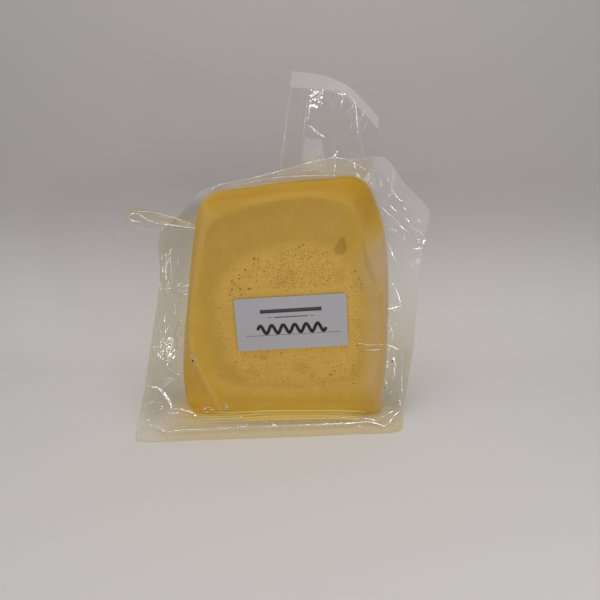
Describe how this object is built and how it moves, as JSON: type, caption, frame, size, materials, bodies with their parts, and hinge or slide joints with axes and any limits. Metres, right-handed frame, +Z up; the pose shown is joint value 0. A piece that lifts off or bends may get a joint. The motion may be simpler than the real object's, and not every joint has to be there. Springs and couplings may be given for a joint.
{
  "type": "vacuum-packed slab of cuartirolo cheese",
  "caption": "Thick slab of soft yellow cheese sealed in a clear vacuum bag with a wavy empty margin, standing on its lower edge, with a small white label on its front.",
  "frame": {"origin": "middle of the flat underside that the slab stands on, half way through its thickness", "axes": "+Z up, +X to the right of the label side, +Y away from the label side towards the back"},
  "size_m": [0.1724, 0.0564, 0.1857],
  "materials": {
    "cheese": "soft pale yellow cheese, glossy under clear film",
    "film": "clear glossy vacuum bag film, frosted along its seals",
    "label_paper": "smooth white sticker paper"
  },
  "bodies": {
    "root": {"bag": "cheese", "label": "label_paper"}
  },
  "joints": []
}
